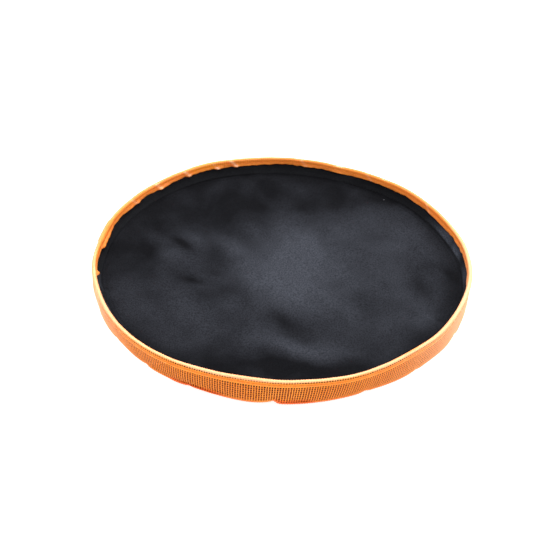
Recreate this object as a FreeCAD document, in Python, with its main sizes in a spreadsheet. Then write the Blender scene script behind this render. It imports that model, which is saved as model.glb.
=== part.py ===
# Soft sewn throwing disc, open side up.
#
# Frame: millimetres, +Z up, origin at the middle of the disc on the plane it rests on.
# The disc is a round padded fabric floor inside a stand-up rim.  The rim is one
# perforated tape folded over a slim hollow core, with a foam strip and a lining
# strip between its two sides.  Three lines of stitching hold everything together.
#
# Every radius below is measured from the disc's axis, every height from the rest plane.
import FreeCAD, Part
import math
import os
import Sketcher

V = FreeCAD.Vector
doc = FreeCAD.newDocument("SewnDisc")

# --------------------------------------------------------------------------
# Driving dimensions
# --------------------------------------------------------------------------
sheet = doc.addObject("Spreadsheet::Sheet", "Sizes")
SIZES = [
    # name, value, meaning
    ("outer_radius", 120.2, "widest radius of the tape band"),
    ("base_radius", 118.2, "radius where the band turns under"),
    ("core_circle", 118.4, "radius of the circle that the core follows"),
    ("core_height", 16.4, "height of the middle of the core"),
    ("core_radius", 0.95, "radius of the hollow core"),
    ("core_bore", 0.45, "radius of the hole in the core"),
    ("core_turn", 359.85, "angle that the core's one length covers, ends butted"),
    ("pin_turn", 10.0, "angle that the joining pin covers"),
    ("bead_radius", 1.6, "outside radius of the tape round the core"),
    ("tape_thickness", 0.65, "thickness of the perforated tape"),
    ("seam_height", 14.2, "height of the stitching under the bead"),
    ("hem_height", 12.3, "height of the free edge of the inside hem"),
    ("base_seam_radius", 111.2, "radius of the stitching through the floor"),
    ("under_hem_radius", 109.6, "radius of the free edge of the tape under the floor"),
    ("crease_radius", 113.8, "radius of the corner between floor and lining"),
    ("crease_height", 6.5, "height of that corner"),
    ("flat_radius", 82.0, "radius of the flat middle of the floor"),
    ("floor_edge", 115.2, "radius of the cut edge of the floor panels"),
    ("face_thickness", 0.7, "thickness of each face fabric"),
    ("padding_thickness", 1.16, "thickness of the padding between the faces"),
    ("layer_gap", 0.02, "space left between two layers"),
    ("thread_radius", 0.2, "radius of the sewing thread"),
    ("lining_top", 15.1, "height of the top edge of the lining strip"),
    ("tack_length", 1.6, "length of one thread bar of the end tack"),
    ("tack_width", 0.4, "width and depth of one thread bar of the end tack"),
    ("tack_radius", 116.2, "radius at which the end tack lies"),
    ("tack_pitch", 0.42, "angle between two thread bars, in degrees"),
]
VAL = {}
for row, (alias, value, meaning) in enumerate(SIZES, start=1):
    sheet.set("A%d" % row, meaning)
    sheet.set("B%d" % row, str(value))
    sheet.setAlias("B%d" % row, alias)
    VAL[alias] = value
doc.recompute()


def val(c):
    """Value of a coordinate written as (alias, offset)."""
    return VAL[c[0]] + c[1]


def expr(c):
    alias, off = c
    if off == 0:
        return "Sizes.%s" % alias
    return "Sizes.%s %s %.4f" % (alias, "+" if off > 0 else "-", abs(off))


def new_body(label):
    body = doc.addObject("PartDesign::Body", label)
    body.Label = label
    body.Placement = FreeCAD.Placement()
    return body


def origin_plane(body, role):
    for feature in body.Origin.OriginFeatures:
        if feature.Role == role:
            return feature
    raise RuntimeError("no origin plane " + role)


def profile(body, name, vertices, arcs=None):
    """Closed profile in the XZ plane of the body.

    vertices: ((alias, offset) of the radius, (alias, offset) of the height) or None
    as the radius for a point on the axis, None as the height for one on the rest plane.
    arcs: {index: (alias, offset of the radius, centre radius, centre height, ccw)}
    makes the side from vertex index to the next an arc.
    """
    arcs = arcs or {}
    sk = body.newObject("Sketcher::SketchObject", name)
    sk.AttachmentSupport = [(origin_plane(body, "XZ_Plane"), "")]
    sk.MapMode = "FlatFace"
    pts = [
        V(0 if x is None else val(x), 0 if z is None else val(z), 0)
        for x, z in vertices
    ]
    n = len(pts)
    ends = []
    for i in range(n):
        a, b = pts[i], pts[(i + 1) % n]
        if i in arcs:
            radius, cx, cz, ccw = arcs[i]
            centre = V(val(cx), val(cz), 0)
            first, last = (a, b) if ccw else (b, a)
            t0 = math.atan2(first.y - centre.y, first.x - centre.x)
            t1 = math.atan2(last.y - centre.y, last.x - centre.x)
            if t1 <= t0:
                t1 += 2 * math.pi
            circle = Part.Circle(centre, V(0, 0, 1), val(radius))
            g = sk.addGeometry(Part.ArcOfCircle(circle, t0, t1), False)
            ends.append((g, 1, 2) if ccw else (g, 2, 1))
        else:
            g = sk.addGeometry(Part.LineSegment(a, b), False)
            ends.append((g, 1, 2))
    for i in range(n):
        g, _, e = ends[i]
        h, s, _ = ends[(i + 1) % n]
        sk.addConstraint(Sketcher.Constraint("Coincident", g, e, h, s))
    for i, (x, z) in enumerate(vertices):
        g, s, _ = ends[i]
        if x is None:
            sk.addConstraint(Sketcher.Constraint("PointOnObject", g, s, -2))
        else:
            c = sk.addConstraint(
                Sketcher.Constraint("DistanceX", -1, 1, g, s, pts[i].x)
            )
            sk.renameConstraint(c, "radius_%d" % i)
            sk.setExpression("Constraints.radius_%d" % i, expr(x))
        if z is None:
            sk.addConstraint(Sketcher.Constraint("PointOnObject", g, s, -1))
        else:
            c = sk.addConstraint(
                Sketcher.Constraint("DistanceY", -1, 1, g, s, pts[i].y)
            )
            sk.renameConstraint(c, "height_%d" % i)
            sk.setExpression("Constraints.height_%d" % i, expr(z))
    for i in arcs:
        g = ends[i][0]
        c = sk.addConstraint(Sketcher.Constraint("Radius", g, val(arcs[i][0])))
        sk.renameConstraint(c, "arc_%d" % i)
        sk.setExpression("Constraints.arc_%d" % i, expr(arcs[i][0]))
    return sk


def revolve(body, sk, turn=None):
    rev = body.newObject("PartDesign::Revolution", body.Label + "_turned")
    rev.Profile = sk
    rev.ReferenceAxis = (sk, ["V_Axis"])
    rev.Angle = 360.0
    if turn:
        rev.setExpression("Angle", "Sizes.%s" % turn)
    body.Tip = rev
    return rev


def R(alias, off=0.0):
    return (alias, off)


# --------------------------------------------------------------------------
# Floor: two face fabrics with padding between them.  Flat in the middle,
# rising like a saucer over the last 30 mm to the corner under the rim.
# --------------------------------------------------------------------------
# (radius, how far the floor has risen there)
RISE = [
    (R("flat_radius"), 0.0),
    (R("flat_radius", 7.0), 0.42),
    (R("flat_radius", 14.0), 1.35),
    (R("flat_radius", 21.0), 2.55),
    (R("flat_radius", 27.0), 3.4),
]


def floor_layer(label, bottom, thickness, edge, edge_rise=3.85):
    """One layer of the floor.  bottom: height of its underside in the middle."""
    body = new_body(label)
    low, high = [], []
    base = bottom
    low.append((None, None if base == 0 else R("layer_gap", base - VAL["layer_gap"])))
    for r, rise in RISE:
        h = base + rise
        low.append((r, None if h == 0 else R("layer_gap", h - VAL["layer_gap"])))
    low.append((edge, R("layer_gap", base + edge_rise - VAL["layer_gap"])))
    high.append((edge, R(thickness, base + edge_rise)))
    for r, rise in reversed(RISE):
        high.append((r, R(thickness, base + rise)))
    high.append((None, R(thickness, base)))
    sk = profile(body, label + "_profile", low + high)
    revolve(body, sk)
    return body


FACE, PAD, GAP = VAL["face_thickness"], VAL["padding_thickness"], VAL["layer_gap"]
floor_panel_outer = floor_layer("floor_panel_outer", 0.0, "face_thickness", R("floor_edge", 1.2))
floor_interlining = floor_layer(
    "floor_interlining", FACE + GAP, "padding_thickness", R("floor_edge", 0.6)
)
floor_panel_inner = floor_layer(
    "floor_panel_inner", FACE + PAD + 2 * GAP, "face_thickness", R("floor_edge")
)
# top of the inner face: 2.6 in the middle, 6.45 at its edge

# --------------------------------------------------------------------------
# Rim tape: one strip, folded over the core.  Outside it comes down to the rest
# plane and turns under the floor; inside it hangs as a free hem.
# --------------------------------------------------------------------------
rim_tape = new_body("rim_tape")
B, K = VAL["bead_radius"], VAL["core_radius"] + 0.02
a_out, a_in = math.radians(45), math.radians(55)
tape_vertices = [
    (R("under_hem_radius"), R("tape_thickness", 1.8)),  # 0 free edge under the floor
    (R("base_radius", -1.7), R("tape_thickness", -0.3)),  # 1
    (R("base_radius"), None),  # 2 rests on the table
    (R("outer_radius", -0.3), R("tape_thickness", 1.25)),  # 3
    (R("outer_radius"), R("crease_height")),  # 4
    (R("outer_radius", -0.75), R("seam_height")),  # 5 drawn in by the seam
    (
        R("core_circle", B * math.cos(a_out)),
        R("core_height", -B * math.sin(a_out)),
    ),  # 6 bead, outside foot
    (
        R("core_circle", -B * math.cos(a_out)),
        R("core_height", -B * math.sin(a_out)),
    ),  # 7 bead, inside foot
    (R("core_circle", -1.2), R("seam_height")),  # 8
    (R("core_circle", -1.75), R("hem_height")),  # 9 free edge of the hem
    (R("core_circle", -1.1), R("hem_height", -0.05)),  # 10
    (R("core_circle", -0.55), R("seam_height", -0.1)),  # 11
    (
        R("core_circle", -K * math.cos(a_in)),
        R("core_height", -K * math.sin(a_in)),
    ),  # 12
    (
        R("core_circle", K * math.cos(a_in)),
        R("core_height", -K * math.sin(a_in)),
    ),  # 13
    (R("outer_radius", -1.4), R("seam_height", -0.1)),  # 14
    (R("outer_radius", -0.65), R("crease_height")),  # 15
    (R("outer_radius", -0.95), R("tape_thickness", 1.35)),  # 16
    (R("base_radius", -0.1), R("tape_thickness")),  # 17
    (R("base_radius", -1.5), R("tape_thickness", 0.35)),  # 18
    (R("under_hem_radius", 0.2), R("tape_thickness", 2.45)),  # 19
]
tape_sketch = profile(
    rim_tape,
    "rim_tape_profile",
    tape_vertices,
    arcs={
        2: (R("tape_thickness", 1.2), R("base_radius", -0.14), R("tape_thickness", 1.19), True),
        6: (R("bead_radius"), R("core_circle"), R("core_height"), True),
        12: (R("core_radius", 0.02), R("core_circle"), R("core_height"), False),
    },
)
revolve(rim_tape, tape_sketch)

# --------------------------------------------------------------------------
# Core of the bead: a hollow cord, one length bent to a ring, its ends butted
# over a pin.
# --------------------------------------------------------------------------


def ring_sketch(body, name, radius_c, height_c, radius):
    sk = body.newObject("Sketcher::SketchObject", name)
    sk.AttachmentSupport = [(origin_plane(body, "XZ_Plane"), "")]
    sk.MapMode = "FlatFace"
    circles = radius if isinstance(radius, list) else [radius]
    for i, rad in enumerate(circles):
        g = sk.addGeometry(
            Part.Circle(V(val(radius_c), val(height_c), 0), V(0, 0, 1), val(rad)), False
        )
        for kind, c, tag in (("DistanceX", radius_c, "radius"), ("DistanceY", height_c, "height")):
            k = sk.addConstraint(Sketcher.Constraint(kind, -1, 1, g, 3, val(c)))
            sk.renameConstraint(k, "%s_%d" % (tag, i))
            sk.setExpression("Constraints.%s_%d" % (tag, i), expr(c))
        k = sk.addConstraint(Sketcher.Constraint("Radius", g, val(rad)))
        sk.renameConstraint(k, "round_%d" % i)
        sk.setExpression("Constraints.round_%d" % i, expr(rad))
    return sk


# The core's ends and the pin are at the left of the disc, under the tape's end lap.
JOINT_AZIMUTH = 172.0

rim_core_tube = new_body("rim_core_tube")
sk = ring_sketch(
    rim_core_tube,
    "rim_core_tube_profile",
    R("core_circle"),
    R("core_height"),
    [R("core_radius"), R("core_bore")],
)
revolve(rim_core_tube, sk, "core_turn")
rim_core_tube.Placement = FreeCAD.Placement(
    V(0, 0, 0), FreeCAD.Rotation(V(0, 0, 1), JOINT_AZIMUTH)
)

core_joining_pin = new_body("core_joining_pin")
sk = ring_sketch(
    core_joining_pin,
    "core_joining_pin_profile",
    R("core_circle"),
    R("core_height"),
    R("core_bore", -0.01),
)
pin = revolve(core_joining_pin, sk, "pin_turn")
core_joining_pin.Placement = FreeCAD.Placement(
    V(0, 0, 0), FreeCAD.Rotation(V(0, 0, 1), JOINT_AZIMUTH - VAL["pin_turn"] / 2)
)

# --------------------------------------------------------------------------
# Lining strip: the inside face of the rim wall, from under the hem down to
# the corner of the floor, where it leans inwards.
# --------------------------------------------------------------------------
wall_lining_strip = new_body("wall_lining_strip")
lining_vertices = [
    (R("crease_radius"), R("crease_height", 0.02)),
    (R("crease_radius", 1.2), R("crease_height", 0.02)),
    (R("crease_radius", 2.3), R("crease_height", 1.35)),
    (R("crease_radius", 3.35), R("crease_height", 3.4)),
    (R("core_circle", -0.62), R("hem_height", 0.2)),
    (R("core_circle", 0.06), R("seam_height", -0.1)),
    (R("core_circle", 0.06), R("lining_top", 0.0)),
    (R("core_circle", -0.42), R("lining_top", 0.0)),
    (R("core_circle", -0.47), R("seam_height", 0.0)),
    (R("core_circle", -1.02), R("hem_height", 0.15)),
    (R("core_circle", -1.22), R("hem_height", -0.6)),
    (R("crease_radius", 2.85), R("crease_height", 3.6)),
    (R("crease_radius", 1.85), R("crease_height", 1.75)),
]
sk = profile(wall_lining_strip, "wall_lining_strip_profile", lining_vertices)
revolve(wall_lining_strip, sk)

# --------------------------------------------------------------------------
# Foam strip that stiffens the rim wall, between the lining and the tape
# --------------------------------------------------------------------------
rim_wall_foam = new_body("rim_wall_foam")
foam_vertices = [
    (R("floor_edge", 1.4), R("crease_height", -3.6)),
    (R("base_radius", -1.3), R("tape_thickness", 0.55)),
    (R("base_radius", -0.3), R("tape_thickness", 0.25)),
    (R("base_radius", 0.6), R("tape_thickness", 1.35)),
    (R("outer_radius", -0.7), R("crease_height")),
    (R("outer_radius", -1.35), R("seam_height", -0.9)),
    (R("core_circle", 0.16), R("seam_height", -0.9)),
    (R("core_circle", -0.55), R("hem_height", 0.15)),
    (R("crease_radius", 3.47), R("crease_height", 3.3)),
    (R("crease_radius", 2.42), R("crease_height", 1.25)),
    (R("crease_radius", 1.75), R("crease_height", 0.45)),
    (R("floor_edge", 1.4), R("crease_height", -0.6)),
]
sk = profile(rim_wall_foam, "rim_wall_foam_profile", foam_vertices)
revolve(rim_wall_foam, sk)

# --------------------------------------------------------------------------
# Stitching.  Each thread runs once round the disc.
# --------------------------------------------------------------------------


def thread(label, radius_c, height_c):
    body = new_body(label)
    s = ring_sketch(body, label + "_profile", radius_c, height_c, R("thread_radius"))
    revolve(body, s)
    return body


# under the bead: through the tape twice and the top of the lining
bead_seam_needle_thread = thread(
    "bead_seam_needle_thread", R("outer_radius", -0.52), R("seam_height", 0.0)
)
bead_seam_bobbin_thread = thread(
    "bead_seam_bobbin_thread", R("core_circle", -1.45), R("seam_height", 0.0)
)
# through the tape's turned-under edge and all of the floor
base_seam_needle_thread = thread(
    "base_seam_needle_thread", R("base_seam_radius"), R("tape_thickness", 1.08)
)
base_seam_bobbin_thread = thread(
    "base_seam_bobbin_thread", R("base_seam_radius"), R("crease_height", -0.12)
)
# lining to floor, in the corner
corner_seam_thread = thread(
    "corner_seam_thread", R("crease_radius", -0.3), R("crease_height", 0.2)
)

# thread bars across the end lap of the tape, on the inside hem
tack_bars = []
for k in range(6):
    bar = doc.addObject("Part::Box", "tack_bar_%d" % (k + 1))
    bar.setExpression("Length", "Sizes.tack_width")
    bar.setExpression("Width", "Sizes.tack_width")
    bar.setExpression("Height", "Sizes.tack_length")
    angle = JOINT_AZIMUTH + (k - 2.5) * VAL["tack_pitch"]
    rad = math.radians(angle)
    lean = FreeCAD.Rotation(V(0, 1, 0), 14.0)
    bar.Placement = FreeCAD.Placement(
        V(VAL["tack_radius"] * math.cos(rad), VAL["tack_radius"] * math.sin(rad), VAL["hem_height"] + 0.1),
        FreeCAD.Rotation(V(0, 0, 1), angle).multiply(lean),
    )
    tack_bars.append(bar)
tape_end_bartack = doc.addObject("Part::Compound", "tape_end_bartack")
tape_end_bartack.Label = "tape_end_bartack"
tape_end_bartack.Links = tack_bars
tape_end_bartack.Placement = FreeCAD.Placement()

doc.recompute()

# --------------------------------------------------------------------------
# Checks, then one file per piece
# --------------------------------------------------------------------------
PIECES = [
    floor_panel_outer,
    floor_interlining,
    floor_panel_inner,
    wall_lining_strip,
    rim_wall_foam,
    rim_tape,
    rim_core_tube,
    core_joining_pin,
    bead_seam_needle_thread,
    bead_seam_bobbin_thread,
    base_seam_needle_thread,
    base_seam_bobbin_thread,
    corner_seam_thread,
    tape_end_bartack,
]
for obj in doc.Objects:
    if "Invalid" in obj.State or "Error" in obj.State:
        raise RuntimeError("%s failed: %s" % (obj.Label, obj.State))
for piece in PIECES:
    shape = piece.Shape
    if shape.isNull() or not shape.isValid() or not shape.Solids:
        raise RuntimeError("%s has no valid solid" % piece.Label)

os.makedirs("parts", exist_ok=True)
for piece in PIECES:
    piece.Shape.exportStep(os.path.join("parts", piece.Label + ".step"))
    box = piece.Shape.BoundBox
    print(
        "%-26s %8.1f mm3  r %.2f  z %.2f..%.2f"
        % (piece.Label, piece.Shape.Volume, box.XMax, box.ZMin, box.ZMax)
    )
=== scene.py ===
import math

import bpy
import numpy as np
from mathutils import Matrix, Vector


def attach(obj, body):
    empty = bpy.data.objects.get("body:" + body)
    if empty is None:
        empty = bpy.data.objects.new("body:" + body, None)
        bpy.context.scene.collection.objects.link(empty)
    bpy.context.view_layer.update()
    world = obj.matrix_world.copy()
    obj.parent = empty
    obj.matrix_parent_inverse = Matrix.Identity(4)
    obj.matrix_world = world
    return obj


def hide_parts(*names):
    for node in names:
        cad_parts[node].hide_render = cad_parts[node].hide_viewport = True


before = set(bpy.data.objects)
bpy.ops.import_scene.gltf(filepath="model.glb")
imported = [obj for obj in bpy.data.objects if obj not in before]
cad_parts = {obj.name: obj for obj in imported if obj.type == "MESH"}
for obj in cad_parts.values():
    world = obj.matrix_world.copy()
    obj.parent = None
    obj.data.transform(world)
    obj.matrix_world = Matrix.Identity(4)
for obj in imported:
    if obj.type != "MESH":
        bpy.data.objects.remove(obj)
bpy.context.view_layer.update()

# Lengths are written in millimetres and become metres when a mesh is made.
MM = 0.001
TAU = 2 * math.pi
rng = np.random.RandomState(7)

# ---------------------------------------------------------------------------
# Small tools
# ---------------------------------------------------------------------------


def smooth01(x):
    x = np.clip(x, 0.0, 1.0)
    return x * x * (3 - 2 * x)


def around(knots, blur=3.0):
    """A smooth function of azimuth (radians) through (degrees, value) knots."""
    k = sorted(((a % 360.0), v) for a, v in knots)
    a = np.array([k[-1][0] - 360] + [x[0] for x in k] + [k[0][0] + 360])
    v = np.array([k[-1][1]] + [x[1] for x in k] + [k[0][1]])
    grid = np.arange(0, 360, 0.25)
    y = np.interp(grid, a, v)
    f = np.fft.rfft(y)
    n = np.arange(len(f))
    f = f * np.exp(-0.5 * (n * math.radians(blur)) ** 2)
    y = np.fft.irfft(f, len(grid))
    gx = np.append(grid, 360.0)
    gy = np.append(y, y[0])
    return lambda th: np.interp(np.degrees(th) % 360.0, gx, gy)


def ripple(seed, low, high, power=1.0):
    """Random smooth function of azimuth with the given range of waves round the disc."""
    r = np.random.RandomState(seed)
    n = np.arange(low, high + 1)
    a = r.normal(size=len(n)) / n ** power
    p = r.uniform(0, TAU, len(n))
    grid = np.linspace(0, TAU, 2881)
    y = (a[:, None] * np.cos(n[:, None] * grid[None] + p[:, None])).sum(0)
    y /= y.std() + 1e-9
    return lambda th: np.interp(np.mod(th, TAU), grid, y)


class Noise2:
    """Smooth random field of x and y, in millimetres."""

    def __init__(self, seed, size, octaves=3, gain=0.5):
        r = np.random.RandomState(seed)
        self.waves = []
        amp, wl = 1.0, size
        for _ in range(octaves):
            for _ in range(14):
                t = r.uniform(0, TAU)
                k = TAU / (wl * r.uniform(0.75, 1.35))
                self.waves.append((k * math.cos(t), k * math.sin(t), r.uniform(0, TAU), amp))
            amp *= gain
            wl *= 0.5
        self.norm = 1 / math.sqrt(sum(w[3] ** 2 for w in self.waves) / 2)

    def __call__(self, x, y):
        out = 0
        for kx, ky, p, a in self.waves:
            out = out + a * np.cos(kx * x + ky * y + p)
        return out * self.norm


def make(name, verts, faces, smooth=True):
    """Mesh object from vertices in mm and a list of face arrays (each of one size)."""
    me = bpy.data.meshes.new(name)
    verts = np.asarray(verts, np.float64).reshape(-1, 3)
    if not isinstance(faces, (list, tuple)):
        faces = [faces]
    faces = [np.asarray(f, np.int32) for f in faces if len(f)]
    me.vertices.add(len(verts))
    me.vertices.foreach_set("co", (verts * MM).astype(np.float32).ravel())
    loops = np.concatenate([f.ravel() for f in faces])
    starts, at = [], 0
    for f in faces:
        starts.append(at + np.arange(len(f)) * f.shape[1])
        at += f.size
    starts = np.concatenate(starts)
    me.loops.add(len(loops))
    me.loops.foreach_set("vertex_index", loops)
    me.polygons.add(len(starts))
    me.polygons.foreach_set("loop_start", starts.astype(np.int32))
    me.update(calc_edges=True)
    me.validate()
    me.polygons.foreach_set("use_smooth", np.full(len(me.polygons), smooth, bool))
    me.update()
    ob = bpy.data.objects.new(name, me)
    bpy.context.scene.collection.objects.link(ob)
    return ob


def attribute(ob, name, values):
    """Float value at each vertex, for the material."""
    at = ob.data.attributes.new(name, "FLOAT", "POINT")
    at.data.foreach_set("value", np.asarray(values, np.float32).ravel())


def tubes(centre, side, up, section, closed=False, caps=True):
    """Tubes along centre[n, m, 3] with a section of (side, up) offsets.

    closed: each tube's m points form a loop.
    Returns vertices and face arrays.
    """
    n, m, _ = centre.shape
    sec = np.asarray(section, float)
    if sec.ndim == 2:
        sec = np.broadcast_to(sec[None, None], (n, m) + sec.shape)
    k = sec.shape[2]
    V = centre[:, :, None, :] + sec[..., 0:1] * side[:, :, None, :] + sec[..., 1:2] * up[:, :, None, :]
    idx = np.arange(n * m * k).reshape(n, m, k)
    nxt = np.roll(idx, -1, axis=2)
    if closed:
        a, b = idx, np.roll(idx, -1, axis=1)
        an, bn = nxt, np.roll(nxt, -1, axis=1)
    else:
        a, b = idx[:, :-1], idx[:, 1:]
        an, bn = nxt[:, :-1], nxt[:, 1:]
    quads = np.stack([a, an, bn, b], -1).reshape(-1, 4)
    faces = [quads]
    if caps and not closed:
        c0, c1 = idx[:, 0, :], idx[:, -1, ::-1]
        faces.append(np.concatenate([c0[:, ::-1][:, ::-1], c1]).reshape(-1, k)[:, ::-1])
    return V.reshape(-1, 3), faces


def joined(parts):
    """Several (vertices, faces) into one."""
    V, F, at = [], {}, 0
    for v, faces in parts:
        V.append(v)
        for f in faces:
            F.setdefault(f.shape[1], []).append(f + at)
        at += len(v)
    return np.concatenate(V), [np.concatenate(f) for f in F.values()]


def fix_normals(ob):
    import bmesh

    bm = bmesh.new()
    bm.from_mesh(ob.data)
    bmesh.ops.recalc_face_normals(bm, faces=bm.faces)
    bm.to_mesh(ob.data)
    bm.free()


# ---------------------------------------------------------------------------
# How the soft disc departs from a true circle
# ---------------------------------------------------------------------------
LAP_FROM, LAP_TO = math.radians(166.0), math.radians(177.5)  # the tape's end lap

hoop_out = around(
    [(0, 1.09), (10, 1.11), (20, -0.39), (30, -0.37), (40, 0.23), (50, -0.23), (60, -1.53), (70, -1.85),
     (80, -0.7), (90, 0.57), (100, 0.34), (110, 1.28), (120, 2.89), (130, 0.54), (140, 0.38), (150, -0.45),
     (160, -0.18), (170, -1.14), (180, -1.15), (190, 0.38), (200, -0.24), (210, 0.81), (220, 1.9),
     (230, 2.33), (240, 1.38), (250, -0.12), (260, -1.42), (270, -0.03), (280, -0.25), (290, 1.39),
     (300, -0.14), (310, -1.55), (320, 0.04), (330, -0.53), (340, -0.2), (350, 1.1)], 4.0)
base_out = around(
    [(0, 0.54), (10, -0.22), (20, -0.77), (30, -0.15), (40, 0.63), (50, 0.9), (60, 0.48), (70, -0.03),
     (80, -0.27), (90, -0.3), (100, -0.29), (110, 0.52), (120, 1.1), (130, 0.82), (140, 0.71), (150, 0.22),
     (160, -0.41), (170, -0.59), (180, 0.18), (190, 1.2), (200, -1.5), (210, -0.42), (220, -1.07),
     (230, 0.47), (240, 0.55), (250, -1.04), (260, 1.0), (270, 0.66), (280, 0.24), (290, -0.1),
     (300, -0.64), (310, -0.27), (320, -0.27), (330, 0.74), (340, -0.26), (350, 0.39)], 4.0)
# where the wall meets the floor, against a true circle
crease_out = around(
    [(0, 1.7), (5, 1.4), (13, 0.8), (30, 0.5), (60, 0.1), (90, 0.0), (140, 0.0), (168, 0.9), (184, 0.3),
     (194, 0.5), (205, 0.2), (240, 0.0), (300, 0.2), (330, 0.8), (350, 1.7)], 5.0)
ground_wave = ripple(31, 3, 16, 0.6)

# Gathers along the turned-under edge: (azimuth, how far the edge is drawn up, half width in
# degrees, lean of the fold)
GATHERS = [
    (269.2, 1.55, 2.6, 0.5), (294.5, 0.75, 2.4, -0.6), (331.5, 0.9, 2.2, 0.4), (246.0, 0.7, 3.0, -0.5),
    (231.0, 0.8, 3.2, 0.6), (217.5, 0.75, 2.8, -0.4), (312.0, 0.45, 2.4, 0.3), (203.0, 0.5, 2.4, 0.4),
    (355.0, 0.8, 2.6, -0.4), (19.0, 1.0, 2.8, 0.5), (43.0, 0.8, 2.5, -0.5), (66.5, 1.2, 2.7, 0.3),
    (91.0, 0.7, 2.4, -0.3), (114.0, 1.1, 2.8, 0.5), (138.5, 0.8, 2.6, -0.4), (160.0, 1.0, 2.7, 0.4),
    (184.0, 0.7, 2.4, -0.5),
]


def wrap(d):
    return (d + math.pi) % TAU - math.pi


def gather(th, z):
    """(lift of the edge, push of the surface) by the gathers, at azimuth th and height z."""
    lift = 0.0
    push = 0.0
    for a, amount, half, lean in GATHERS:
        d = wrap(th - math.radians(a)) * 120.0  # mm along the rim
        w = math.radians(half) * 120.0
        side = np.where(d * lean > 0, 0.55, 1.35)  # one flank steep, the other gentle
        lift = lift + amount * np.exp(-((np.abs(d) / (w * side)) ** 1.35))
        line = d - lean * 1.6 * (z - 1.0)
        push = push - amount * 0.42 * np.exp(-((line / (1.5 + 0.18 * z)) ** 2)) * np.exp(-((z / 7.0) ** 2))
        push = push + amount * 0.30 * np.exp(-(((line - 2.6) / (1.9 + 0.2 * z)) ** 2)) * np.exp(-((z / 8.0) ** 2))
    return lift, push


def warp(r, z, th):
    """Takes a point of the true round disc to the real, slightly uneven one."""
    w = smooth01(z / 16.5)
    near = smooth01((r - 70.0) / 44.0)
    out = (base_out(th) * (1 - w) + hoop_out(th) * w) * near
    radial = 1 - 0.5 * np.sin(th) ** 2
    r2 = r + out * (w * radial + (1 - w))
    z2 = z + w * near * hoop_out(th) * 0.36 * np.sin(th) * np.abs(np.sin(th))
    return r2, z2


def xyz(r, z, th):
    return np.stack([r * np.cos(th), r * np.sin(th), z], -1)


# ---------------------------------------------------------------------------
# Tape: its outer face as a line (radius, height), from the hem's free edge inside,
# over the bead, down the outside and under the floor
# ---------------------------------------------------------------------------
TAPE_LINE = np.array([
    (116.98, 12.1), (117.10, 12.8), (117.35, 13.6), (117.50, 14.15), (117.42, 14.8), (117.33, 15.5),
    (117.34, 16.26), (117.52, 16.94), (118.02, 17.44), (118.70, 17.62), (119.38, 17.44), (119.88, 16.94),
    (120.06, 16.26), (119.90, 15.6), (119.62, 15.05), (119.48, 14.5), (119.58, 13.8), (119.78, 12.8),
    (119.98, 11.0), (120.14, 8.8), (120.22, 6.4), (120.17, 4.2), (119.98, 2.6), (119.56, 1.3),
    (118.90, 0.42), (117.90, 0.06), (116.4, 0.36), (114.4, 0.95), (112.0, 1.72), (109.7, 2.48),
])


def fine_line(points, steps=40):
    """Catmull-Rom through the points, and its arc length."""
    p = np.vstack([2 * points[0] - points[1], points, 2 * points[-1] - points[-2]])
    out = []
    for i in range(1, len(p) - 2):
        t = np.linspace(0, 1, steps, endpoint=False)[:, None]
        a, b, c, d = p[i - 1], p[i], p[i + 1], p[i + 2]
        out.append(0.5 * (2 * b + (c - a) * t + (2 * a - 5 * b + 4 * c - d) * t ** 2 + (3 * b - a - 3 * c + d) * t ** 3))
    out = np.vstack(out + [p[-2][None]])
    s = np.concatenate([[0], np.cumsum(np.linalg.norm(np.diff(out, axis=0), axis=1))])
    return out, s


LINE, LINE_S = fine_line(TAPE_LINE)
S_END = LINE_S[-1]
_t = np.gradient(LINE, axis=0)
_t /= np.linalg.norm(_t, axis=1)[:, None]
LINE_N = np.stack([-_t[:, 1], _t[:, 0]], 1)  # points away from the rim, outwards


def s_at(r, z):
    return float(LINE_S[np.argmin(np.hypot(LINE[:, 0] - r, LINE[:, 1] - z))])


S_SEAM_IN = s_at(117.50, 14.15)
S_TOP = s_at(118.7, 17.62)
S_DARK = s_at(118.7 + 1.36 * math.cos(math.radians(-3.0)), 16.26 + 1.36 * math.sin(math.radians(-3.0)))
S_SEAM = s_at(119.48, 14.5)
S_FIELD = s_at(119.82, 12.5)
S_LAST = s_at(120.03, 2.95)
S_FOOT = s_at(118.9, 0.42)
S_BASE_SEAM = s_at(111.2, 1.97)
ROW = (S_LAST - S_FIELD) / 7.0

hem_wave = ripple(5, 7, 42, 0.35)
hem_fine = ripple(6, 60, 150, 0.2)
hem_fold = ripple(8, 16, 60, 0.3)
drift = ripple(12, 2, 14, 0.5)
band_wave = ripple(21, 4, 22, 0.7)
band_wave2 = ripple(22, 5, 26, 0.7)

# Folds of the hem at the back left: (azimuth, push in mm, half width in degrees)
HEM_FOLDS = [(138.6, 0.95, 1.5), (126.0, 1.15, 1.4), (115.0, 1.15, 1.3), (108.2, 1.0, 1.2), (150.0, 0.7, 1.6),
             (83.0, 0.35, 1.6), (58.0, 0.3, 1.8), (31.0, 0.4, 1.9), (12.0, 0.35, 1.8), (340.0, 0.3, 1.7),
             (191.6, 0.5, 1.4), (214.0, 0.3, 1.7), (262.0, 0.3, 1.6), (305.0, 0.35, 1.7)]


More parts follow.
